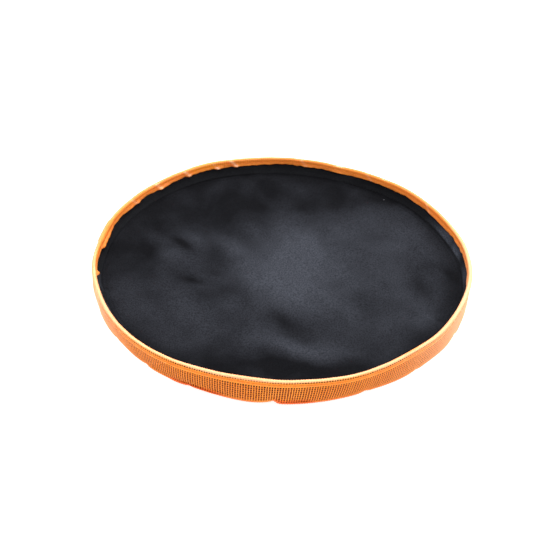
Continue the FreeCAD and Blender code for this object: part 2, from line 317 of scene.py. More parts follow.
def tape_point(th, s, depth=0.0):
    """Point of the tape at azimuth th and arc length s, depth mm proud of its outer face.
    Also gives the outward normal in the (radius, height) plane."""
    th = np.asarray(th, float)
    s = np.asarray(s, float)
    th, s = np.broadcast_arrays(th, s)
    r = np.interp(s, LINE_S, LINE[:, 0])
    z = np.interp(s, LINE_S, LINE[:, 1])
    nr = np.interp(s, LINE_S, LINE_N[:, 0])
    nz = np.interp(s, LINE_S, LINE_N[:, 1])
    ln = np.hypot(nr, nz)
    nr, nz = nr / ln, nz / ln
    # the free hem inside waves and folds
    hem = smooth01((S_SEAM_IN - s) / (S_SEAM_IN + 1e-6))
    r = r - hem * (0.16 * hem_fold(th))
    for a, amount, half in HEM_FOLDS:
        d = wrap(th - math.radians(a)) / math.radians(half)
        r = r - hem * amount * (np.exp(-(d + 0.35) ** 2 * 1.6) - 0.55 * np.exp(-(d - 0.9) ** 2 * 2.2))
    # the end of the lap stands off the wall, and so does a small tab next to it
    deg = np.degrees(th) % 360.0
    r = r - hem * (1.25 * smooth01((deg - 164.0) / 12.0) * (1 - smooth01((deg - 177.8) / 0.9))
                   + 1.2 * np.exp(-((deg - 191.2) / 0.8) ** 2))
    # the band outside: slack between the seam and the turned-under edge
    out = smooth01((s - S_SEAM) / 3.0) * (1 - smooth01((s - S_FOOT - 1.0) / 4.0))
    lift, push = gather(th, z)
    belly = out * (0.28 * band_wave(th) * np.sin(np.clip(z / 14.0, 0, 1) * math.pi) + 0.12 * band_wave2(th + z * 0.012))
    r = r + out * push + belly
    # a long roll of slack along the foot, left of the front
    win = smooth01((deg - 238.0) / 4.0) * (1 - smooth01((deg - 252.5) / 4.5))
    slope = z - 0.10 * (deg - 246.0)
    r = r + out * win * (0.55 * np.exp(-((slope - 1.7) / 1.0) ** 2) - 0.60 * np.exp(-((slope - 3.5) / 0.55) ** 2))
    win2 = smooth01((deg - 270.3) / 1.2) * (1 - smooth01((deg - 277.0) / 3.0))
    r = r + out * win2 * (0.45 * np.exp(-((z - 1.9) / 1.1) ** 2) - 0.35 * np.exp(-((z - 3.8) / 0.6) ** 2))
    # the drawn-up edge
    low = smooth01(1 - z / 9.0) * smooth01((s - S_SEAM) / 3.0)
    z = z + low * lift * (1 - 0.35 * smooth01((s - S_FOOT) / 3.0))
    r = r - low * lift * 0.35 * (1 - smooth01((s - S_FOOT) / 3.0))
    # bead: tiny unevenness
    bead = smooth01((s - S_SEAM_IN) / 1.2) * (1 - smooth01((s - S_SEAM + 1.2) / 1.2))
    z = z + bead * 0.07 * hem_fold(th * 1.0 + 1.3)
    # the end lap lies one thickness proud
    lap = smooth01((wrap(th - LAP_FROM)) * 120 / 0.5 + 0.5) * smooth01((wrap(LAP_TO - th)) * 120 / 0.5 + 0.5)
    d = depth + 0.45 * lap
    r = r + nr * d
    z = z + nz * d
    r, z = warp(r, z, th)
    return r, z, nr, nz


def hem_edge(th):
    """Arc length at which the hem's free edge lies."""
    e = 0.30 * hem_wave(th) + 0.13 * hem_fine(th) + 0.25
    for a, amount, half in ((176.9, -1.0, 1.3), (191.6, -0.9, 1.2), (139.0, -0.5, 1.6), (112.0, -0.45, 1.8)):
        e = e + amount * np.exp(-((wrap(th - math.radians(a)) / math.radians(half)) ** 2))
    return e


COLUMNS = 510
WALE = 0.64
# the tape is a little askew in places: the ribs lean by this much
lean = around([(0, -0.1), (40, 0.05), (90, -0.08), (140, 0.06), (190, 0.0), (230, 0.03), (255, 0.02), (268, -0.03),
               (278, -0.17), (290, -0.25), (310, -0.2), (335, -0.12)], 4.0)


def strip_section(TH, S, depth, thick):
    """Closed ring strip: TH[n], S[n, k] arc lengths across it, depth and thickness below the face."""
    n, k = S.shape
    T = np.broadcast_to(TH[:, None], S.shape)
    rt, zt, _, _ = tape_point(T, S, depth)
    rb, zb, _, _ = tape_point(T, S, depth - thick)
    top = xyz(rt, zt, T)
    bot = xyz(rb, zb, T)[:, ::-1]
    V = np.concatenate([top, bot], 1)
    m = 2 * k
    idx = np.arange(n * m).reshape(n, m)
    a, b = idx, np.roll(idx, -1, axis=0)
    q = np.stack([a, np.roll(a, -1, 1), np.roll(b, -1, 1), b], -1).reshape(-1, 4)
    return V.reshape(-1, 3), [q]


def mesh_tape(name, s0, s1, step, bars, strips, from_edge=False):
    """Perforated tape between arc lengths s0 and s1: raised upright ribs, thin bars across them
    and, where the tape is close-woven, solid strips.  Returns the object."""
    th = (np.arange(COLUMNS) + 0.5) * TAU / COLUMNS
    th = th + 0.0004 * ripple(41, 20, 120, 0.2)(th)
    # ribs
    m = max(8, int(round((s1 - s0) / step)))
    t = np.linspace(0, 1, m + 1)
    lo = np.full(COLUMNS, s0) if not from_edge else hem_edge(th)
    s = lo[:, None] + (s1 - lo[:, None]) * t[None]
    zig = 0.05 * np.cos(math.pi * s / ROW) + 0.045 * rng.normal(size=s.shape)
    zig = zig * np.where(np.arange(COLUMNS)[:, None] % 2, 1, -1)
    TH = th[:, None] + (zig + lean(th)[:, None] * np.clip(s - S_SEAM, 0, 13)) / 119.0
    r, z, nr, nz = tape_point(TH, s, 0.0)
    C = xyz(r, z, TH)
    up = np.stack([nr * np.cos(TH), nr * np.sin(TH), nz], -1)
    along = np.gradient(C, axis=1)
    along /= np.linalg.norm(along, axis=2)[..., None]
    side = np.cross(along, up)
    side /= np.linalg.norm(side, axis=2)[..., None]
    up = np.cross(side, along)
    w = WALE / 2
    solid = np.zeros(s.shape)
    for a, b in strips:
        solid = np.maximum(solid, smooth01((s - a) / 0.4 + 0.5) * smooth01((b - s) / 0.4 + 0.5))
    # the ribs lie closer over the top of the bead
    crown = smooth01((S_DARK - ROW * 0.45 - s) / 0.5 + 0.5)
    open_row = np.exp(-(((s - S_DARK) / 0.55) ** 4))
    half = w * (1 + 0.07 * rng.normal(size=s.shape)) * (1 + 0.35 * np.maximum(solid, crown)) * (1 - 0.22 * open_row)
    sec = np.array([(-1.0, -0.42), (-0.82, -0.14), (-0.32, 0.0), (0.32, 0.0), (0.82, -0.14), (1.0, -0.42)])
    section = np.broadcast_to(sec, s.shape + sec.shape).copy()
    section[..., 0] *= half[..., None]
    parts = [tubes(C, side, up, section)]
    # bars
    for row in bars:
        sj = row + 0.22 * drift(th) * min(1.0, abs(row - S_SEAM) / 3.0)
        sj = sj + 0.05 * rng.normal(size=COLUMNS)
        if from_edge:
            sj = np.maximum(sj, hem_edge(th) + 0.25)
        wide = 0.46
        S = sj[:, None] + np.array([-wide / 2, wide / 2])[None]
        parts.append(strip_section(th, S, -0.24, 0.22))
    for a, b in strips:
        k = max(3, int(round((b - a) / 1.05)) + 1)
        u = np.linspace(0, 1, k)
        aa = np.full(COLUMNS, a)
        if from_edge and a < 1.0:
            aa = hem_edge(th) + 0.02
        S = aa[:, None] + (b - aa[:, None]) * u[None]
        parts.append(strip_section(th, S, -0.13, 0.26))
    V, F = joined(parts)
    ob = make(name, V, F)
    nrib, nbar = len(parts[0][0]), sum(len(p[0]) for p in parts[1:1 + len(bars)])
    # painted shade on the thin bars, which lie set back between the ribs, and on the ribs' flanks; less on the ribs
    # where the tape is close-woven
    rib_and_bar_shade = np.zeros(len(V))
    rib_and_bar_shade[nrib:nrib + nbar] = 1.0
    ribside = np.tile(np.array([1.0, 0.45, 0, 0, 0.45, 1.0]), nrib // 6)
    rib_and_bar_shade[:nrib] = 0.8 * ribside * (1 - np.repeat(np.maximum(solid, crown).ravel(), 6))
    attribute(ob, "rib_and_bar_shade", rib_and_bar_shade)
    z = V[:, 2]
    rr = np.hypot(V[:, 0], V[:, 1])
    # edge: painted shade, a deeper saturated orange where the band curls under at its foot and along the rolls of slack
    # near the front
    edge = smooth01((3.6 - z) / 2.6) * smooth01((rr - 112.0) / 4.0)
    az = np.degrees(np.arctan2(V[:, 1], V[:, 0])) % 360.0
    roll = smooth01((az - 238.0) / 4.0) * (1 - smooth01((az - 253.0) / 4.5)) + smooth01((az - 268.5) / 1.2) * (1 - smooth01((az - 278.0) / 3.0))
    edge = np.clip(edge * (0.75 + 0.5 * roll) + roll * np.exp(-(((z - 3.4) / 0.8) ** 2)) * (rr > 115.0), 0, 1)
    # painted highlight: a pale wash on the band at the right and the left, where the light grazes it
    painted_highlight = smooth01((rr - 116.0) / 2.0) * (np.exp(-((wrap(np.radians(az - 338.0)) / math.radians(24.0)) ** 2))
                                        + 0.8 * np.exp(-((wrap(np.radians(az - 205.0)) / math.radians(15.0)) ** 2)))
    # painted highlight along the top of the bead, strongest at the front and the right
    painted_light_amount = 0.2 + 0.65 * smooth01((np.cos(np.radians(az - 272.0)) + 0.55) / 1.0)
    painted_light_amount = painted_light_amount + 0.35 * np.exp(-((wrap(np.radians(az - 5.0)) / math.radians(25.0)) ** 2))
    painted_highlight = np.maximum(painted_highlight, painted_light_amount * smooth01((z - 16.45) / 0.5) * smooth01((rr - 117.3) / 0.6))
    # inside the hem: a little painted highlight and some painted shade
    inside = (rr < 118.6 + 0.02 * (z - 14)) & (z > 11.0)
    painted_highlight = np.maximum(painted_highlight, 0.10 * inside)
    edge = np.maximum(edge, 0.30 * inside)
    # painted highlight on one flank of each hem fold and painted shade on the other
    for a, amount in ((138.6, 0.7), (126.0, 0.8), (115.0, 1.0), (108.2, 0.9), (151.0, 0.5), (83.0, 0.4), (58.0, 0.4), (31.0, 0.5)):
        d = az - a - 0.45 * (z - 14.0)
        painted_highlight = np.maximum(painted_highlight, inside * 1.15 * amount * np.exp(-((d / 0.7) ** 2)))
        edge = np.maximum(edge, inside * 0.85 * amount * np.exp(-(((d - 1.4) / 0.65) ** 2)))
    attribute(ob, "painted_highlight", painted_highlight)
    attribute(ob, "edge", edge)
    return ob


band_holes = S_FIELD + ROW * np.arange(8)
band_bars = list((band_holes[1:] + band_holes[:-1]) / 2)
tape_band = mesh_tape(
    "rim_tape_band", S_SEAM - 0.15, S_END, 1.17, band_bars,
    [(S_SEAM - 0.1, S_FIELD - ROW / 2 + 0.18), (S_LAST + ROW / 2 - 0.18, S_END - 0.05)])
bead_bars = [S_DARK - ROW * 0.5]
tape_bead = mesh_tape(
    "rim_tape_bead", 0.0, S_SEAM - 0.15, 0.62, bead_bars,
    [(0.0, S_DARK - ROW / 2 + 0.02), (S_DARK + ROW / 2 - 0.04, S_SEAM - 0.15)], from_edge=True)
for ob in (tape_band, tape_bead):
    fix_normals(ob)

# ---------------------------------------------------------------------------
# Revolved soft layers
# ---------------------------------------------------------------------------


def ring_sheet(name, line, thickness, n=720, extra=None, flip=False, taper=0.0):
    """Closed soft strip whose face runs along line (radius, height); thickness to its left."""
    fine, s = fine_line(np.array(line, float), 8)
    pick = np.linspace(0, s[-1], max(6, int(s[-1] / 0.6)))
    pr = np.interp(pick, s, fine[:, 0])
    pz = np.interp(pick, s, fine[:, 1])
    t = np.gradient(np.stack([pr, pz], 1), axis=0)
    t /= np.linalg.norm(t, axis=1)[:, None]
    nr, nz = -t[:, 1], t[:, 0]
    if flip:
        nr, nz = -nr, -nz
    th = np.arange(n) * TAU / n
    TH = th[:, None]
    face_r, face_z = pr[None] + 0 * TH, pz[None] + 0 * TH
    thin = thickness * (1 - 0.55 * smooth01((np.arange(len(pick)) / (len(pick) - 1.0) - 0.6) / 0.15) * taper)
    back_r, back_z = face_r + nr * thin, face_z + nz * thin
    if extra is not None:
        dr, dz = extra(face_r, face_z, TH)
        face_r, face_z, back_r, back_z = face_r + dr, face_z + dz, back_r + dr, back_z + dz
    fr, fz = warp(face_r, face_z, TH)
    br, bz = warp(back_r, back_z, TH)
    loop = np.concatenate([np.stack([fr, fz], -1), np.stack([br, bz], -1)[:, ::-1]], 1)
    V = np.stack([loop[..., 0] * np.cos(TH), loop[..., 0] * np.sin(TH), loop[..., 1]], -1)
    k = V.shape[1]
    idx = np.arange(n * k).reshape(n, k)
    a, b = idx, np.roll(idx, -1, axis=0)
    quads = np.stack([a, np.roll(a, -1, 1), np.roll(b, -1, 1), b], -1).reshape(-1, 4)
    ob = make(name, V.reshape(-1, 3), quads)
    fix_normals(ob)
    return ob


crease_fold = ripple(51, 8, 40, 0.5)


def lining_extra(r, z, th):
    low = smooth01((12.0 - z) / 4.0)
    bulge = 0.30 * crease_fold(th) * np.sin(np.clip((z - 6.0) / 6.5, 0, 1) * math.pi)
    # a small pleat at the front left
    d = wrap(th - math.radians(197.5)) * 115
    pleat = 1.3 * np.exp(-((d + 1.2) / 1.7) ** 2) - 0.7 * np.exp(-((d - 1.6) / 1.5) ** 2)
    dr = -bulge - pleat * np.sin(np.clip((z - 6.0) / 7.0, 0, 1) * math.pi)
    dr = dr + crease_out(th) * (1 - smooth01((z - 6.4) / 6.0))
    return dr * np.ones_like(r), np.zeros_like(r) + 0 * low


lining = ring_sheet(
    "wall_lining_strip",
    [(115.3, 6.1), (114.0, 6.4), (114.45, 7.3), (115.45, 8.3), (116.6, 10.0), (117.35, 11.7), (117.72, 12.6), (118.1, 14.0), (118.3, 14.8), (118.85, 15.25), (119.22, 15.7), (119.38, 16.25), (119.30, 16.8)],
    0.45, n=900, extra=lining_extra, flip=True, taper=1.0)

co = np.empty(len(lining.data.vertices) * 3, np.float32)
lining.data.vertices.foreach_get("co", co)
co = co.reshape(-1, 3) / MM
az = np.degrees(np.arctan2(co[:, 1], co[:, 0]))
# painted reflection on the wall lining: pale at the right side and in small spots at the left
pale = 1.1 * np.exp(-(((az - 4.0) / 13.0) ** 2) ** 1.5) + 1.0 * np.exp(-(((az - 22.0) / 7.0) ** 2) ** 1.5)
pale = pale - 0.5 * np.exp(-(((az - 13.5) / 1.8) ** 2)) + 0.9 * np.exp(-(((az + 166.5) / 3.5) ** 2)) + 0.9 * np.exp(-(((az + 154.5) / 1.8) ** 2))
pale = pale * (0.75 + 0.35 * crease_fold(np.radians(az) * 1.0 + 0.4)) * smooth01((co[:, 2] - 6.8) / 1.5)
attribute(lining, "painted_sheen", np.clip(pale, 0, 1.1))


def foam_extra(r, z, th):
    lift, push = gather(th, z)
    low = smooth01(1 - z / 9.0)
    return np.minimum(push, 0.0) * 1.15 - low * lift * 0.45, low * lift * 1.05 + 0 * r


foam = ring_sheet(
    "rim_wall_foam",
    [(117.8, 13.2), (118.5, 13.15), (118.85, 12.0), (119.1, 9.0), (119.2, 6.4), (119.05, 3.8), (118.6, 2.2), (117.7, 1.35), (116.9, 1.5)],
    0.7, n=900, extra=foam_extra, flip=True)


def ring_tube(name, radius, height, thick, n=720, turn=TAU, start=0.0, sides=10):
    th = start + np.linspace(0, turn, n, endpoint=turn < TAU - 1e-6)
    r, z = warp(np.full(n, radius), np.full(n, height), th)
    C = xyz(r, z, th)[None]
    if turn >= TAU - 1e-6:
        along = np.roll(C, -1, axis=1) - np.roll(C, 1, axis=1)
    else:
        along = np.gradient(C, axis=1)
    along /= np.linalg.norm(along, axis=2)[..., None]
    up = np.broadcast_to(np.array([0, 0, 1.0]), C.shape)
    side = np.cross(along, up)
    a = np.arange(sides) * TAU / sides
    sec = thick * np.stack([np.cos(a), np.sin(a)], 1)
    V, F = tubes(C, side, up, sec, closed=turn >= TAU - 1e-6)
    ob = make(name, V, F)
    fix_normals(ob)
    return ob


core = ring_tube("rim_core_tube", 118.46, 16.46, 0.78, sides=12)
pin = ring_tube("core_joining_pin", 118.45, 16.42, 0.36, n=24, turn=math.radians(10), start=math.radians(167), sides=8)

# ---------------------------------------------------------------------------
# Floor
# ---------------------------------------------------------------------------


def rise(r):
    return 3.85 * smooth01((r - 80.0) / 36.0)


broad = Noise2(3, 120.0, 2, 0.5)
medium = Noise2(4, 42.0, 3, 0.55)
small = Noise2(9, 14.0, 2, 0.6)


def crease_line(x, y, a, b, depth, width, sharp=0.5):
    """Soft valley along the segment a-b: a steep flank on one side, a gentle one on the other."""
    ax, ay = a
    bx, by = b
    lx, ly = bx - ax, by - ay
    n = math.hypot(lx, ly)
    lx, ly = lx / n, ly / n
    u = (x - ax) * lx + (y - ay) * ly
    v = -(x - ax) * ly + (y - ay) * lx
    end = np.exp(-(np.maximum(0, np.maximum(-u, u - n)) / (0.35 * n + 3)) ** 2)
    w = np.where(v > 0, width, width * sharp)
    return -depth * np.exp(-(v / w) ** 2) * end


def bump(x, y, cx, cy, h, rx, ry, turn=0.0):
    c, s = math.cos(math.radians(turn)), math.sin(math.radians(turn))
    u = (x - cx) * c + (y - cy) * s
    v = -(x - cx) * s + (y - cy) * c
    return h * np.exp(-((u / rx) ** 2 + (v / ry) ** 2))


radial_fold = ripple(61, 9, 30, 0.6)


def floor_relief(x, y):
    """Height of the floor's soft relief over the plain saucer, in mm."""
    r = np.hypot(x, y)
    th = np.arctan2(y, x)
    f = 0.45 * broad(x, y) + 0.20 * medium(x, y) + 0.035 * small(x, y)
    f = f + crease_line(x, y, (-76, 29), (-63, 14), 0.9, 4.0, 0.5)
    f = f + crease_line(x, y, (-60, -9), (-50, -15), 0.7, 4.0, 0.6)
    f = f + crease_line(x, y, (-52, -21), (-32, -37), 0.7, 8.0, 0.7)
    f = f + crease_line(x, y, (7, 15), (32, -13), 0.8, 9.0, 0.8)
    f = f + crease_line(x, y, (-8, -44), (16, -58), 0.7, 9.0, 0.7)
    f = f + bump(x, y, 12, -74, 1.0, 22, 7, -20)
    f = f + crease_line(x, y, (-20, -88), (30, -95), 0.8, 7.0, 0.8)
    f = f + crease_line(x, y, (87, 0), (92, -22), 0.9, 6.0, 0.7)
    f = f + bump(x, y, 84, -48, 0.9, 20, 10, -35)
    f = f + crease_line(x, y, (93, -44), (101, -56), 0.7, 3.5, 0.5)
    f = f + crease_line(x, y, (85, 73), (97, 50), 0.8, 6.0, 0.7)
    f = f + bump(x, y, 60, 40, -0.6, 10, 8)
    f = f + crease_line(x, y, (-52, 112), (-33, 92), 0.8, 4.0, 0.6)
    f = f + crease_line(x, y, (-31, 113), (-14, 93), 0.8, 4.0, 0.6)
    # radial draw towards the rim
    f = f + 0.30 * radial_fold(th) * smooth01((r - 78) / 22) * (1 - smooth01((r - 108) / 7))
    f = f * (1 - smooth01((r - 104.0) / 11.0) * 0.92)
    # the layers below keep it from sinking far
    return -0.45 + 0.28 * np.logaddexp(0.0, (f + 0.65) / 0.28)


def disc_grid(n):
    """Grid of points in the unit disc with even cells, and its quads."""
    a = np.linspace(-1, 1, n)
    X, Y = np.meshgrid(a, a, indexing="ij")
    with np.errstate(divide="ignore", invalid="ignore"):
        swap = np.abs(Y) > np.abs(X)
        A = np.where(swap, Y, X)
        B = np.where(swap, X, Y)
        phi = np.where(A == 0, 0, (math.pi / 4) * B / np.where(A == 0, 1, A))
        px, py = A * np.cos(phi), A * np.sin(phi)
        x = np.where(swap, py, px)
        y = np.where(swap, px, py)
    idx = np.arange(n * n).reshape(n, n)
    q = np.stack([idx[:-1, :-1], idx[1:, :-1], idx[1:, 1:], idx[:-1, 1:]], -1).reshape(-1, 4)
    rim = np.concatenate([idx[:-1, 0], idx[-1, :-1], idx[:0:-1, -1], idx[0, :0:-1]])
    return x.ravel(), y.ravel(), q, rim


def floor_edge_out(th):
    return base_out(th) * 0.4 + hoop_out(th) * 0.35 + crease_out(th)


def floor_panel(name, radius, top, bottom, n=260):
    """Closed round soft panel between two height fields."""
    ux, uy, q, rim = disc_grid(n)
    x, y = ux * radius, uy * radius
    r = np.hypot(x, y)
    th = np.arctan2(y, x)
    r2 = r + floor_edge_out(th) * smooth01((r - 60.0) / 55.0)
    P = xyz(r2, top(x, y, r, th), th)
    Q = xyz(r2, bottom(x, y, r, th), th)
    N = len(P)
    V = np.vstack([P, Q])
    side = np.stack([rim, np.roll(rim, -1), np.roll(rim, -1) + N, rim + N], 1)
    ob = make(name, V, [np.vstack([q, q[:, ::-1] + N, side])])
    fix_normals(ob)
    return ob


def under_relief(x, y, r, th):
    f = 0.16 + 0.10 * broad(x + 40, y) + 0.09 * medium(x, y + 60)
    f = f + 0.10 * radial_fold(th + 1.0) * smooth01((r - 74) / 20)
    return np.clip(f, 0.0, 0.34) * (1 - 0.9 * smooth01((r - 104.0) / 8.0))


def inner_top(x, y, r, th):
    return 2.6 + rise(r) + floor_relief(x, y)


def inner_bottom(x, y, r, th):
    return inner_top(x, y, r, th) - 0.62


def outer_bottom(x, y, r, th):
    return rise(r) + under_relief(x, y, r, th)


def outer_top(x, y, r, th):
    return outer_bottom(x, y, r, th) + 0.6


floor_inner = floor_panel("floor_panel_inner", 114.9, inner_top, inner_bottom, n=220)


def blob(x, y, cx, cy, rx, ry, turn=0.0, power=1.0):
    c, s_ = math.cos(math.radians(turn)), math.sin(math.radians(turn))
    u = ((x - cx) * c + (y - cy) * s_) / rx
    v = (-(x - cx) * s_ + (y - cy) * c) / ry
    return np.exp(-((u * u + v * v) ** power))


def painted_sheen(x, y):
    """Painted sheen and shade on the floor fabric: pale where the light's reflection falls in the middle and on crease
    flanks, painted shade along the creases, at the back and darker towards the edge.
    """
    x, y = x + 3.5 * broad(x + 11, y - 7), y + 3.0 * broad(x * 1.4 + 3, y - 17)
    f = 1.22 * blob(x, y, 8, -4, 40, 46, 10, 1.1)
    f = f + 0.50 * blob(x, y, 45, 44, 50, 34, -8, 1.4)
    f = f + 0.40 * blob(x, y, 84, -6, 34, 48, 0, 1.3)
    f = f + 0.48 * blob(x, y, -62, -48, 50, 28, -30, 1.3)
    f = f + 0.28 * blob(x, y, 52, -62, 50, 28, 25, 1.3)
    f = f + 0.16 * blob(x, y, -85, 18, 26, 40, 10, 1.2)
    f = f + 0.70 * blob(x, y, 13, -75, 22, 7, -16)
    f = f + 0.30 * blob(x, y, 84, -50, 20, 9, -35)
    f = f + 0.30 * blob(x, y, -40, 26, 20, 9, -40)
    f = f + 0.22 * blob(x, y, -56, 3, 16, 9, -10)
    f = f - 0.34 * blob(x, y, -69, 21, 10, 3.0, -50) + 0.30 * blob(x, y, -60, 27, 13, 6, -50) + 0.32 * blob(x, y, -74, 9, 11, 6, -25)
    f = f - 0.20 * blob(x, y, -55, -12, 9, 3.0, -25) + 0.16 * blob(x, y, -52, -6, 10, 4, -25)
    f = f - 0.22 * blob(x, y, 97, -50, 8, 2.4, -55) + 0.25 * blob(x, y, 92, -46, 8, 3.5, -55)
    f = f - 0.25 * blob(x, y, 91, 61, 14, 4, -62) - 0.30 * blob(x, y, 110, 3, 9, 3, -60)
    f = f - 0.24 * blob(x, y, -42, -29, 17, 9, 40)
    f = f - 0.30 * blob(x, y, 18, 0, 18, 8, -48)
    f = f - 0.34 * blob(x, y, 3, -51, 19, 8, -28)
    f = f - 0.20 * blob(x, y, 60, 39, 13, 9)
    f = f - 0.28 * blob(x, y, 89, -11, 14, 7, -70)
    f = f - 0.22 * blob(x, y, 4, -92, 30, 6, -5)
    f = f * (1 - 0.75 * smooth01((y - (62 + 8.0 * blob(x, 0, 42, 0, 44, 1))) / 16.0))
    f = f + 0.14 * blob(x, y, -50, 96, 8, 16, -38) + 0.12 * blob(x, y, -22, 98, 7, 15, -25) + 0.10 * blob(x, y, 20, 98, 18, 10)
    f = f + 0.05 * broad(x * 2.2, y * 2.2) + 0.035 * medium(x * 1.2, y * 1.2)
    return np.clip(0.97 * f + 0.01, 0.0, 1.3) * (1 - 0.5 * smooth01((np.hypot(x, y) - 100.0) / 14.0))


floor_outer = floor_panel("floor_panel_outer", 115.6, outer_top, outer_bottom, n=200)
co = np.empty(len(floor_inner.data.vertices) * 3, np.float32)
floor_inner.data.vertices.foreach_get("co", co)
co = co.reshape(-1, 3) / MM
# painted sheen and painted shade on the floor's colour
attribute(floor_inner, "painted_sheen", painted_sheen(co[:, 0], co[:, 1]))
interlining = floor_panel(
    "floor_interlining", 114.6, lambda *a: inner_bottom(*a) - 0.03, lambda *a: outer_top(*a) + 0.03, n=140)

# ---------------------------------------------------------------------------
# Stitching: every stitch is its own short length of thread
# ---------------------------------------------------------------------------


def stitches(name, place, count, length, thick, seed, sides=6, first=0.0, slant=0.0, skip=None):
    """place(th, depth) gives (r, z, nr, nz).  Each stitch dips in at both ends."""
    r0 = np.random.RandomState(seed)
    th0 = first + (np.arange(count) + 0.12 * r0.normal(size=count)) * TAU / count
    if skip is not None:
        th0 = th0[~skip(th0)]
    c = len(th0)
    u = np.array([-0.5, -0.42, -0.22, 0.0, 0.22, 0.42, 0.5])
    dip = np.array([-1.35, -0.35, 0.15, 0.28, 0.15, -0.35, -1.35]) * thick
    L = length * (1 + 0.05 * r0.normal(size=c))
    TH = th0[:, None] + u[None] * L[:, None] / 118.0
    r, z, nr, nz = place(TH, 0.0 * TH)
    r = r + nr * dip[None]
    z = z + nz * dip[None] + slant * u[None]
    C = xyz(r, z, TH)
    up = np.stack([nr * np.cos(TH), nr * np.sin(TH), nz], -1)
    along = np.gradient(C, axis=1)
    along /= np.linalg.norm(along, axis=2)[..., None]
    side = np.cross(along, up)
    side /= np.linalg.norm(side, axis=2)[..., None]
    up = np.cross(side, along)
    a = np.arange(sides) * TAU / sides
    sec = thick * np.stack([np.cos(a), np.sin(a)], 1)
    grow = np.array([0.55, 0.9, 1, 1, 1, 0.9, 0.55])
    section = sec[None, None] * grow[None, :, None, None] * np.ones((c, 1, 1, 1))
    V, F = tubes(C, side, up, section)
    ob = make(name, V, F)
    fix_normals(ob)
    return ob


def on_tape(s, proud):
    def place(TH, d):
        return tape_point(TH, np.full(TH.shape, s), proud)
    return place


def on_floor(radius):
    def place(TH, d):
        r = np.full(TH.shape, radius)
        x, y = r * np.cos(TH), r * np.sin(TH)
        z = inner_top(x, y, r, TH)
        return r + floor_edge_out(TH) * smooth01((r - 60.0) / 55.0), z - 0.03, np.zeros_like(r), np.ones_like(r)
    return place


bead_needle = stitches("bead_seam_needle_thread", on_tape(S_SEAM + 0.45, 0.08), 262, 2.55, 0.17, 101)
bead_bobbin = stitches("bead_seam_bobbin_thread", on_tape(S_SEAM_IN, 0.08), 262, 2.5, 0.17, 102, first=0.006)
base_needle = stitches("base_seam_needle_thread", on_tape(S_BASE_SEAM, 0.10), 232, 2.6, 0.19, 103)
base_bobbin = stitches("base_seam_bobbin_thread", on_floor(111.2), 232, 2.5, 0.17, 104, first=0.006)
corner = stitches("corner_seam_thread", on_floor(113.35), 300, 1.9, 0.16, 105)


def bartack():
    """Close zigzag of thread across the tape's end lap, on the inside hem."""
    parts = []
    n = 34
    k = np.arange(n)
    th = math.radians(171.7) + (k - n / 2) * 0.16 / 117.0
    s = np.where(k % 2 == 0, 0.75, S_SEAM_IN - 0.3)
    s = np.repeat(s, 1)
    TH = np.interp(np.linspace(0, n - 1, n * 4), k, th)
    SS = np.interp(np.linspace(0, n - 1, n * 4), k, s)
    r, z, nr, nz = tape_point(TH, SS, 0.17)
    C = xyz(r, z, TH)[None]
    up = np.stack([nr * np.cos(TH), nr * np.sin(TH), nz], -1)[None]
    along = np.gradient(C, axis=1)
    along /= np.linalg.norm(along, axis=2)[..., None]
    side = np.cross(along, up)
    side /= np.linalg.norm(side, axis=2)[..., None]
    a = np.arange(6) * TAU / 6
    V, F = tubes(C, side, up, 0.15 * np.stack([np.cos(a), np.sin(a)], 1))
    ob = make("tape_end_bartack", V, F)
    fix_normals(ob)
    return ob


tack = bartack()

# ---------------------------------------------------------------------------
# Materials
# ---------------------------------------------------------------------------


def lin(r, g, b):
    f = lambda c: c / 12.92 if c <= 0.04045 else ((c + 0.055) / 1.055) ** 2.4
    return (f(r / 255), f(g / 255), f(b / 255), 1.0)


class Mat:
    def __init__(self, name):
        self.m = bpy.data.materials.new(name)
        self.m.use_nodes = True
        self.t = self.m.node_tree
        self.bsdf = next(n for n in self.t.nodes if n.type == "BSDF_PRINCIPLED")
        self.out = next(n for n in self.t.nodes if n.type == "OUTPUT_MATERIAL")

    def node(self, kind, **values):
        n = self.t.nodes.new(kind)
        for k, v in values.items():
            if k in n.inputs:
                n.inputs[k].default_value = v
            else:
                setattr(n, k, v)
        return n

    def link(self, a, b):
        self.t.links.new(a, b)

    def coords(self):
        return self.node("ShaderNodeTexCoord").outputs["Object"]

    def noise(self, scale, detail=3.0, rough=0.55, vec=None):
        n = self.node("ShaderNodeTexNoise")
        n.inputs["Scale"].default_value = scale
        n.inputs["Detail"].default_value = detail
        n.inputs["Roughness"].default_value = rough
        self.link(vec if vec is not None else self.coords(), n.inputs["Vector"])
        return n.outputs["Fac"]

    def math(self, op, a, b=None, clamp=False):
        n = self.node("ShaderNodeMath", operation=op)
        n.use_clamp = clamp
        for i, v in enumerate((a, b)):
            if v is None:
                continue
            if isinstance(v, (int, float)):
                n.inputs[i].default_value = v
            else:
                self.link(v, n.inputs[i])
        return n.outputs[0]

    def mix(self, fac, a, b):
        n = self.node("ShaderNodeMix", data_type="RGBA")
        if isinstance(fac, (int, float)):
            n.inputs["Factor"].default_value = fac
        else:
            self.link(fac, n.inputs["Factor"])
        for key, v in ((6, a), (7, b)):
            if isinstance(v, tuple):
                n.inputs[key].default_value = v
            else:
                self.link(v, n.inputs[key])
        return n.outputs[2]

    def ramp(self, fac, stops):
        n = self.node("ShaderNodeValToRGB")
        e = n.color_ramp.elements
        while len(e) < len(stops):
            e.new(0.5)
        for el, (p, c) in zip(e, stops):
            el.position = p
            el.color = c if isinstance(c, tuple) else (c, c, c, 1)
        self.link(fac, n.inputs["Fac"])
        return n.outputs["Color"]

    def bump(self, height, strength, distance):
        n = self.node("ShaderNodeBump")
        n.inputs["Strength"].default_value = strength
        n.inputs["Distance"].default_value = distance
        self.link(height, n.inputs["Height"])
        self.link(n.outputs["Normal"], self.bsdf.inputs["Normal"])


def set_bsdf(m, **kw):
    for k, v in kw.items():
        m.bsdf.inputs[k.replace("_", " ")].default_value = v


